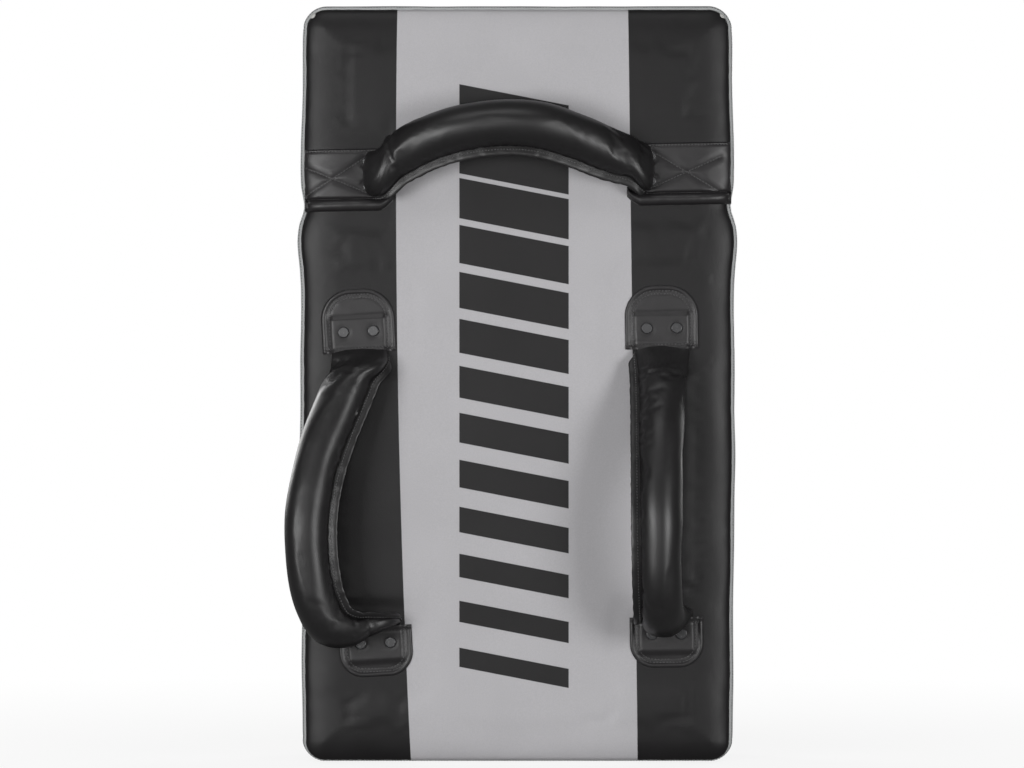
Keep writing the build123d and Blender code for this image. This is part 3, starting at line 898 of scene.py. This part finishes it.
# ------------------------------------------------------------------ grips
class Roll:
    """A padded grip: its hinge line from the frame, and its line and section along its length."""

    def __init__(self, body, lean, near, far, span_mark, seam_turn, turn_length):
        joint = joint_of(body)
        self.body = body
        self.lean = math.radians(lean)
        self.hinge = np.array(joint["pos_m"], float)
        self.along = np.array(joint["axis"], float)
        self.side = np.cross(OUT, self.along)
        rivets, setback = span_mark
        end, _, _ = neck(rivets, joint, setback, True)
        span = float((end - self.hinge * np.array((1, 0, 1))) @ self.along)
        rows = [(s * MM, h * MM, w * MM, t * MM) for s, h, w, t in near]
        rows += [(span - s * MM, h * MM, w * MM, t * MM) for s, h, w, t in far]
        self.line = self.interpolate(np.array(rows), 2.4 * MM)
        self.run = run_of(self.line[:, :2])
        tangent = np.gradient(self.line[:, :2], axis=0)
        tangent /= np.linalg.norm(tangent, axis=1)[:, None]
        self.normal = np.stack([-tangent[:, 1], tangent[:, 0]], axis=1)
        start_run = self.run[np.argmin(np.abs(self.line[:, 0]))]
        nearest = np.where(self.run > self.run[-1] / 2, np.abs(self.line[:, 1]), 9)
        end_run = self.run[np.argmin(nearest)]
        self.from_ends = np.clip(np.minimum(self.run - start_run, end_run - self.run), 0, None)
        self.share = np.clip(self.from_ends / turn_length, 0, 1)
        self.seam = np.radians(seam_turn[0] + (seam_turn[1] - seam_turn[0]) * smooth(self.share))

    @staticmethod
    def interpolate(rows, step):
        """A smooth run of rows through the given ones."""
        chord = np.linalg.norm(np.diff(rows[:, :2], axis=0), axis=1)
        knots = np.concatenate([[0], np.cumsum(np.maximum(chord, 1e-4))])
        slopes = np.gradient(rows, knots, axis=0)
        marks = np.linspace(0, knots[-1], round(knots[-1] / step))
        k = np.clip(np.searchsorted(knots, marks, side="right") - 1, 0, len(knots) - 2)
        width = (knots[k + 1] - knots[k])[:, None]
        t = ((marks - knots[k])[:, None]) / width
        return (
            (2 * t**3 - 3 * t**2 + 1) * rows[k] + (t**3 - 2 * t**2 + t) * width * slopes[k]
            + (3 * t**2 - 2 * t**3) * rows[k + 1] + (t**3 - t**2) * width * slopes[k + 1]
        )

    def place(self, station, across, up):
        """Points at a distance across and up from the line at each station, leaning as the grip rests."""
        s = self.line[station, 0] + up * self.normal[station, 0]
        h = self.line[station, 1] + up * self.normal[station, 1]
        turn = (self.lean * smooth(self.share[station]))[:, None]
        return (
            self.hinge + s[:, None] * self.along
            + across[:, None] * (self.side * np.cos(turn) + OUT * np.sin(turn))
            + h[:, None] * (OUT * np.cos(turn) - self.side * np.sin(turn))
        )

    def section(self, station, angle, inset=0.0):
        """Across and up of the sleeve's surface at an angle round it."""
        wide, thick = self.line[station, 2] - inset, self.line[station, 3] - inset
        flat = 1 - np.clip(thick / wide, 0, 1)
        power = 2 / (2 + 0.6 * flat)
        cos, sin = np.cos(angle), np.sin(angle)
        across = wide * np.sign(cos) * np.abs(cos) ** power
        up = thick * np.sign(sin) * np.abs(sin) ** power
        return across, up

    def from_seam(self, station, angle):
        """Angle between a place on the sleeve and its seam."""
        return (angle - self.seam[station] + np.pi) % (2 * np.pi) - np.pi

    def at_seam(self, station, reach, side):
        """Points a reach out from the sleeve at its seam, and to one side of it."""
        turn = self.seam[station]
        across, up = self.section(station, turn)
        cos, sin = np.cos(turn), np.sin(turn)
        return self.place(station, across + reach * cos - side * sin, up + reach * sin + side * cos)


def bend(piece, share, points):
    """Lays a piece's points along Z by their share, bakes its transform, then puts the given points back in place.
    """
    laid_out = np.zeros((len(share), 3))
    laid_out[:, 2] = share
    put_points(piece, laid_out)
    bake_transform(piece)
    put_points(piece, points)


def tube(name, stations, ring, make_points, closed_ends=False, held=None):
    """A tube along some of a roll's stations. make_points gives its points from station and angle."""
    piece, column, row = grid(name, len(stations) - 1, ring)
    angle = row / ring * 2 * np.pi
    points = make_points(stations[column], angle)
    if closed_ends:
        for end in (0, len(stations) - 1):
            points[column == end] = points[column == end].mean(axis=0)
    put_points(piece, points)
    if held:
        hold(piece, held(stations[column], angle))
    face_outwards(piece)
    return piece


def spread(piece, roll):
    """Each point's share of the way from the shield to the grip, by the nearest station of the roll."""
    points = points_of(piece)
    line = roll.place(np.arange(len(roll.run)), np.zeros(len(roll.run)), np.zeros(len(roll.run)))
    nearest = np.array([np.argmin(((line - p) ** 2).sum(axis=1)) for p in points])
    return roll.share[nearest]


def sleeve(roll):
    """The leather sleeve, rolled round the foam and drawn in along its seam."""
    stations = np.arange(len(roll.run))

    def surface(station, angle):
        across, up = roll.section(station, angle)
        round_off = np.stack([np.cos(angle), np.sin(angle)], axis=1)
        place = np.stack([roll.run[station], *(0.02 * round_off.T)], axis=1)
        apart = roll.from_seam(station, angle)
        free = smooth(roll.from_ends[station] / (30 * MM))
        ease = 0.9 * MM * lumps(place, 0.036, 31) * free
        ease -= 1.6 * MM * hump(apart, 0.16) * free
        ease += 0.8 * MM * lumps(place * np.array((1, 0.3, 0.3)), 0.008, 32) * hump(apart, 0.5)
        near = np.exp(-roll.from_ends[station] / (16 * MM))
        ease += 1.1 * MM * near * lumps(place * np.array((0.35, 1.6, 1.6)), 0.011, 33)
        limit = np.minimum(roll.line[station, 3], 3 * MM) / (3 * MM)
        return roll.place(station, across + ease * limit * round_off[:, 0], up + ease * limit * round_off[:, 1])

    def held(station, angle):
        apart = roll.from_seam(station, angle)
        return np.maximum(1 - smooth(roll.from_ends[station] / (32 * MM)), hump(apart, 0.13))

    piece = tube(roll.body + "_cover", stations, 72, surface, held=held)
    settle(piece, 0.03, 1.8 * MM)
    return thicken(piece, 60)


def seam_edge(roll):
    """The sewn edge that stands out along the sleeve, two layers of leather with a ruffled rim."""
    stations = np.arange(2, len(roll.run) - 2)
    profile = np.array([
        (-1.5, -1.1), (2, -1.15), (5, -1.1), (8, -1.0), (9, 0),
        (8, 1.0), (5, 1.1), (2, 1.15), (-1.5, 1.1), (-2, 0),
    ]) * MM

    def surface(station, angle):
        corner = np.rint(angle / (2 * np.pi) * len(profile)).astype(int) % len(profile)
        reach, side = profile[corner].T
        run = roll.run[station]
        rows = np.stack([run, np.zeros_like(run), np.zeros_like(run)], axis=1)
        free = smooth(roll.from_ends[station] / (12 * MM))
        outer = np.clip(reach / (8 * MM), 0, 1)
        reach = reach * (0.1 + 0.8 * free) + 0.7 * MM * lumps(rows, 0.006, 41) * outer
        side = side + (1.3 * MM * lumps(rows, 0.012, 42) + 0.6 * MM * lumps(rows, 0.005, 43)) * outer * free
        return roll.at_seam(station, reach, side)

    piece = tube(roll.body + "_seam_edge", stations, len(profile), surface, closed_ends=True)
    return shade(piece, 60)


def seam_rows(roll):
    """The stitching along a sleeve's seam, on both sides of its edge."""
    stations = np.arange(3, len(roll.run) - 3)
    rows = []
    for lift in (-1.25 * MM, 1.25 * MM):
        points = roll.at_seam(stations, 2 * MM, lift)
        outward = roll.at_seam(stations, 2 * MM, 3 * lift) - points
        rows.append((points, outward / np.linalg.norm(outward, axis=1)[:, None]))
    return rows


def foam_roll(roll):
    """The foam inside a sleeve, closed at both ends."""
    stations = np.nonzero(roll.from_ends > 26 * MM)[0][::2]

    def surface(station, angle):
        across, up = roll.section(station, angle, 2.6 * MM)
        return roll.place(station, across, up)

    piece = tube(roll.body + "_core", stations, 32, surface, closed_ends=True)
    return shade(piece, 60)


def grip_webbing(roll):
    """The flat webbing through a grip, from one neck to the other."""
    stations = np.arange(1, len(roll.run) - 1)

    def surface(station, angle):
        wide = np.minimum(13 * MM, 0.62 * roll.line[station, 2])
        thick = np.minimum(1.4 * MM, 0.45 * roll.line[station, 3])
        corner = np.abs(np.cos(angle)) ** 0.35 * np.sign(np.cos(angle))
        return roll.place(station, wide * corner, thick * np.sign(np.sin(angle)) * np.abs(np.sin(angle)) ** 0.5)

    piece = tube(roll.body + "_strap", stations, 16, surface, closed_ends=True)
    return shade(piece, 50)


# A grip's line and section, in millimetres: distance from the neck, height above the hinge line,
# half its width and half its thickness. The second list runs to the far neck.
LEFT_NEAR = [
    (-6.5, -2.4, 27.5, 2.4), (-1, 0.5, 28, 6.5), (9, 6, 28, 12.5), (24, 16, 27.2, 17.5),
    (50, 32, 25, 20), (82, 50, 22.8, 21), (122, 67, 21.5, 21.2), (160, 76, 21.3, 21.2),
]
RIGHT_NEAR = [
    (-6.5, -2.4, 27, 2.4), (-1, -0.5, 27, 5), (9, 4.5, 26.2, 9), (24, 14, 24.6, 13.5),
    (50, 30.5, 23.2, 18), (82, 50, 22.2, 20.6), (122, 67, 21.5, 21.2), (160, 76, 21.3, 21.2),
]
SIDE_FAR = [
    (62, 77, 21.3, 21.2), (22, 69, 21.3, 21), (2, 56, 21.6, 20), (-4, 39, 22.4, 17.5), (-2.5, 22, 24, 13),
    (0.5, 8, 25.5, 7.5), (-0.5, 0, 26, 3.8), (-6.5, -2.4, 26, 2.4),
]
TOP_NEAR = [
    (-8, -1, 20, 2.5), (-6.8, 4.5, 22, 9), (-1, 10.5, 23.3, 14.2), (14, 18.5, 23.6, 18.8), (45, 38, 22.8, 21.8),
    (84, 53, 22.8, 22.6), (117, 58, 23, 23),
]
TOP_FAR = [
    (107, 56, 23, 23), (60, 38, 22.8, 22), (32, 23, 23.4, 19.6), (8, 12.5, 24, 15), (-5, 5.5, 23, 9),
    (-8, -1, 20, 2.5),
]


def rolls():
    lower, strap = SETBACKS["lower"], SETBACKS["strap"]
    return [
        Roll("left_grip", 50, LEFT_NEAR, SIDE_FAR, ("left_lower_rivets", lower), (-20, -40), 24 * MM),
        Roll("right_grip", 4.5, RIGHT_NEAR, SIDE_FAR, ("right_lower_rivets", lower), (-186, -190), 34 * MM),
        Roll("top_grip", -50, TOP_NEAR, TOP_FAR, ("top_right_rivets", strap), (-176, -138), 24 * MM),
    ]


# ------------------------------------------------------------------ operators
class KICKSHIELD_OT_cover(Operator):
    """Make the two panels and the four gusset strips"""

    bl_idname = "kickshield.cover"
    bl_label = "Padded Cover"

    def execute(self, context):
        back = panel("back_cover", BACK, -1, 4.4 * MM, 1.0)
        hand_over(back, "shield", "back_cover", "back_panel")
        strike = panel("strike_cover", STRIKE, 1, 6.0 * MM, 0.0)
        hand_over(strike, "shield", "strike_cover", "strike_panel")
        points, outward = seam_line(3.2 * MM)
        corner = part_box("gusset_left")[0].z
        x, z = points.T
        level = {
            "right": (x > 0) & (z > corner) & (z < HEIGHT - corner),
            "top": z >= HEIGHT - corner,
            "left": (x < 0) & (z > corner) & (z < HEIGHT - corner),
            "bottom": z <= corner,
        }
        for side, kept in level.items():
            order = np.nonzero(kept)[0]
            gaps = np.nonzero(np.diff(order) > 1)[0]
            if len(gaps):
                order = np.concatenate([order[gaps[0] + 1:], order[:gaps[0] + 1]])
            order = np.concatenate([[(order[0] - 1) % len(points)], order])
            strip = gusset(f"gusset_{side}_strip", points[order], outward[order])
            hand_over(strip, "shield", "gusset_leather", f"gusset_{side}")
        return {"FINISHED"}


class KICKSHIELD_OT_foam(Operator):
    """Make the glued foam layers inside the cover"""

    bl_idname = "kickshield.foam"
    bl_label = "Foam Block"

    def execute(self, context):
        layers = {
            "foam_strike_layer": "firm_foam", "foam_core_front": "soft_foam",
            "foam_core_rear": "soft_foam", "foam_back_layer": "firm_foam",
        }
        for node, slot in layers.items():
            low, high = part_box(node)
            low, high = np.array(low), np.array(high)
            outer = np.array((6.0, 0.0, 4.5)) * MM
            low[1] += 4.5 * MM if node == "foam_back_layer" else 0
            high[1] -= 4.5 * MM if node == "foam_strike_layer" else 0
            size, middle = high - low - 2 * outer, (low + high) / 2
            clear_selection()
            bpy.ops.mesh.primitive_cube_add(size=1, location=middle)
            piece = start(node + "_slab")
            with editing(piece):
                bpy.ops.transform.resize(value=tuple(size), center_override=tuple(middle))
                bpy.ops.mesh.bevel(offset=5 * MM, segments=4, affect="EDGES")
            bpy.ops.object.transform_apply(location=True, rotation=True, scale=True)
            shade(piece, 40)
            hand_over(piece, "shield", slot, node)
        return {"FINISHED"}


class KICKSHIELD_OT_patches(Operator):
    """Make the four D-shaped patches, their tabs and their stitching"""

    bl_idname = "kickshield.patches"
    bl_label = "Side Patches"

    def execute(self, context):
        for side in ("left", "right"):
            for where, (length, corner) in PATCHES.items():
                anchor = f"{side}_{where}"
                joint = joint_of(side + "_grip")
                place = neck(anchor + "_rivets", joint, SETBACKS[where], where == "lower")
                patch = side_patch(anchor, place, length, corner)
                hand_over(patch, "shield", "patch_leather", anchor + "_patch")
                slab = tab(anchor, place)
                hand_over(slab, "shield", "webbing", anchor + "_tab")
                lines = [np.stack(patch_outline(length, corner, inset), axis=1) for inset in PATCH_ROWS]
                lines.append(np.array([(LIP + PATCH_HEM, -34 * MM), (LIP + PATCH_HEM, 34 * MM)]))
                rows = []
                for line in lines:
                    a, b = resample(line, 1.5 * MM).T
                    rows.append((on_panel(*place, a, b, patch_rise(a, b) - 0.5 * MM), OUT))
                thread = stitches(anchor + "_stitches", rows, STITCH_PITCH)
                hand_over(thread, "shield", "black_thread", anchor + "_patch_thread")
        return {"FINISHED"}


class KICKSHIELD_OT_straps(Operator):
    """Make the two straps of the top grip, with their welts and crossed stitching"""

    bl_idname = "kickshield.straps"
    bl_label = "Top Straps"

    def execute(self, context):
        joint = joint_of("top_grip")
        for name, far in (("top_left", False), ("top_right", True)):
            place = neck(name + "_rivets", joint, SETBACKS["strap"], far)
            down = 1 if place[2][2] > 0 else -1
            reach = side_reach(np.array([place[0][2]]))[0] - SEAM_TUCK
            length = reach - abs(place[0][0]) - 0.3 * MM
            strap = top_strap(name + "_band", place, length, down)
            hand_over(strap, "shield", "patch_leather", name + "_strap")
            thread = stitches(name + "_stitches", strap_rows(place, length, down), STITCH_PITCH)
            hand_over(thread, "shield", "black_thread", name + "_strap_thread")
        return {"FINISHED"}


class KICKSHIELD_OT_grips(Operator):
    """Make the three padded grips: sleeve, sewn edge, stitching, foam and webbing"""

    bl_idname = "kickshield.grips"
    bl_label = "Padded Grips"

    def execute(self, context):
        for roll in rolls():
            body = roll.body
            made = [
                (sleeve(roll), "grip_leather", (body + "_sleeve",)),
                (seam_edge(roll), "grip_leather", ()),
                (stitches(body + "_stitches", seam_rows(roll), 3 * MM), "black_thread", (body + "_thread",)),
                (grip_webbing(roll), "webbing", (body + "_webbing",)),
                (foam_roll(roll), "soft_foam", (body + "_foam",)),
            ]
            for piece, slot, nodes in made:
                points = points_of(piece)
                bend(piece, spread(piece, roll), points)
                hand_over(piece, None, slot, *nodes)
        return {"FINISHED"}


class KICKSHIELD_OT_seams(Operator):
    """Make the stitching round the two panels"""

    bl_idname = "kickshield.seams"
    bl_label = "Panel Seams"

    def execute(self, context):
        points, outward = seam_line(3 * MM)
        points, outward = (np.concatenate([v, v[:1]]) for v in (points, outward))
        for name, side in (("back_seam", -1), ("strike_seam", 1)):
            level = np.full(len(points), side * (seam_y() - 1.1 * MM))
            offset = gusset_offset(points, outward, level) + 0.05 * MM
            xz = reached(points, level) + outward * offset[:, None]
            xz[:, 1] = np.maximum(xz[:, 1], 0.6 * MM)
            line = np.stack([xz[:, 0], level, xz[:, 1]], axis=1)
            normal = np.stack([outward[:, 0] * 0.6, np.full(len(points), side * 0.8), outward[:, 1] * 0.6], axis=1)
            thread = stitches(name + "_stitches", [(line, normal)], SEAM_PITCH, 0.5 * MM)
            hand_over(thread, "shield", "black_thread", name + "_thread")
        return {"FINISHED"}


class KICKSHIELD_OT_hardware(Operator):
    """Finish the rivets, washers and backing leather"""

    bl_idname = "kickshield.hardware"
    bl_label = "Rivets and Backing"

    def execute(self, context):
        look = finishes()
        kinds = {"_rivets": "black_rivet", "_washers": "washer_steel", "_backing": "inner_leather"}
        for name, node in frame["nodes"].items():
            for ending, slot in kinds.items():
                if name.endswith(ending):
                    node.data.materials.clear()
                    node.data.materials.append(look[slot])
        return {"FINISHED"}


class KICKSHIELD_OT_stage(Operator):
    """Set up the floor, the soft lights and the camera"""

    bl_idname = "kickshield.stage"
    bl_label = "Studio"

    def execute(self, context):
        stage = context.scene.kick_shield_stage
        clear_selection()
        bpy.ops.mesh.primitive_circle_add(
            vertices=96, radius=stage.floor_radius, fill_type="NGON", location=(0, 0, -0.0002)
        )
        floor = start("floor")
        bpy.ops.object.transform_apply(location=True, rotation=True, scale=True)
        pale = pale_floor("pale_floor", tuple(stage.floor_colour), 0.4, 1.6, stage.surroundings)
        floor.data.materials.append(pale)
        context.scene.world = plain_surroundings("surroundings", stage.surroundings)
        aim = Vector((0, 0, HEIGHT / 2))
        lights = (
            ("front_softbox", (-0.1, -3.0, 0.36), (0.34, 1.2), 1.6 * stage.front_power),
            ("left_softbox", (-1.5, -2.1, 0.42), (1.3, 0.9), 1.8 * stage.side_power),
            ("right_softbox", (1.6, -1.9, 0.36), (0.8, 0.8), 1.3 * stage.side_power),
            ("top_softbox", (-0.3, -1.4, 2.4), (1.5, 0.7), stage.top_power),
            ("back_left_softbox", (-1.8, 2.2, 1.3), (1.2, 1.6), 1.6 * stage.side_power),
            ("back_right_softbox", (1.7, 2.4, 1.2), (1.2, 1.6), 1.6 * stage.side_power),
        )
        for name, place, (wide, tall), power in lights:
            clear_selection()
            bpy.ops.object.light_add(type="AREA", location=place)
            lamp = bpy.context.object
            lamp.name = name
            lamp.data.shape = "RECTANGLE"
            lamp.data.size, lamp.data.size_y = wide, tall
            lamp.data.energy = power
            lamp.visible_camera = False
            lamp.rotation_euler = (aim - Vector(place)).to_track_quat("-Z", "Y").to_euler()
        distance = stage.lens / 36 * stage.view_width
        eye = (stage.view_shift, BACK - distance, HEIGHT / 2)
        bpy.ops.object.camera_add(location=eye, rotation=(math.pi / 2, 0, 0))
        camera = bpy.context.object
        camera.data.sensor_width = 36
        camera.data.lens = stage.lens
        context.scene.camera = camera
        context.scene.view_settings.view_transform = "Standard"
        return {"FINISHED"}


# ------------------------------------------------------------------ settings, panel and start
def length(name, description, default):
    return FloatProperty(name=name, description=description, default=default, unit="LENGTH")


def power(name, description, default):
    return FloatProperty(name=name, description=description, default=default, unit="POWER")


def colour(name, description, default):
    return FloatVectorProperty(
        name=name, description=description, default=default, subtype="COLOR", min=0, max=1
    )


class CoverSettings(PropertyGroup):
    black: colour("Black", "Black leather", (0.0066, 0.0060, 0.0065))
    grey: colour("Grey", "Printed grey band", (0.42, 0.413, 0.428))
    gusset: colour("Gusset", "Grey leather round the sides", (0.36, 0.37, 0.37))
    crown_depth: length("Crown Depth", "How far a panel falls back at its seam", 11 * MM)
    crown_width: length("Crown Width", "Width of the rounded edge of a panel", 38 * MM)
    bow: length("Side Bow", "How far the sides bow out half way up", 2.6 * MM)
    strap_pinch: length("Strap Pinch", "How far the top straps draw the sides in", 4.6 * MM)
    pinch_height: length("Pinch Height", "Height of the drawn-in place", 552 * MM)
    unevenness: length("Side Unevenness", "How far the sewn sides stray from even", 0.8 * MM)
    undulation: length("Undulation", "Depth of the panels' soft unevenness", 1.1 * MM)
    belly: length("Gusset Belly", "How far the gusset swells half way through", 1.2 * MM)


class StageSettings(PropertyGroup):
    lens: FloatProperty(name="Lens", description="Focal length of the camera in millimetres", default=200.0)
    view_width: length("View Width", "Width seen at the back panel", 1.016)
    view_shift: length("View Shift", "The camera's place along X", -0.0055)
    floor_radius: length("Floor Radius", "Radius of the floor", 40.0)
    floor_colour: colour("Floor", "Colour of the floor", (0.86, 0.86, 0.86))
    surroundings: FloatProperty(
        name="Surroundings", description="Light that the plain surroundings throw", default=0.15
    )
    front_power: power("Front Light", "Power of the softbox beside the camera", 5.0)
    side_power: power("Side Lights", "Power that the side softboxes share out", 20.0)
    top_power: power("Top Light", "Power of the top softbox", 9.0)


STEPS = (
    KICKSHIELD_OT_stage, KICKSHIELD_OT_cover, KICKSHIELD_OT_foam, KICKSHIELD_OT_patches,
    KICKSHIELD_OT_straps, KICKSHIELD_OT_grips, KICKSHIELD_OT_seams, KICKSHIELD_OT_hardware,
)


class KICKSHIELD_PT_panel(Panel):
    """Lists the settings and the steps that build the kick shield"""

    bl_label = "Kick Shield"
    bl_idname = "KICKSHIELD_PT_panel"
    bl_space_type = "VIEW_3D"
    bl_region_type = "UI"
    bl_category = "Kick Shield"

    def draw(self, context):
        for group in (context.scene.kick_shield_cover, context.scene.kick_shield_stage):
            for name in type(group).__annotations__:
                self.layout.prop(group, name)
        for step in STEPS:
            self.layout.operator(step.bl_idname)


CLASSES = (CoverSettings, StageSettings, *STEPS, KICKSHIELD_PT_panel)


def register():
    for cls in CLASSES:
        bpy.utils.register_class(cls)
    bpy.types.Scene.kick_shield_cover = PointerProperty(type=CoverSettings)
    bpy.types.Scene.kick_shield_stage = PointerProperty(type=StageSettings)


def unregister():
    del bpy.types.Scene.kick_shield_stage
    del bpy.types.Scene.kick_shield_cover
    for cls in reversed(CLASSES):
        bpy.utils.unregister_class(cls)


def main():
    register()
    bpy.ops.kickshield.stage()
    bpy.ops.kickshield.cover()
    bpy.ops.kickshield.foam()
    bpy.ops.kickshield.patches()
    bpy.ops.kickshield.straps()
    bpy.ops.kickshield.grips()
    bpy.ops.kickshield.seams()
    bpy.ops.kickshield.hardware()


if __name__ == "__main__":
    main()
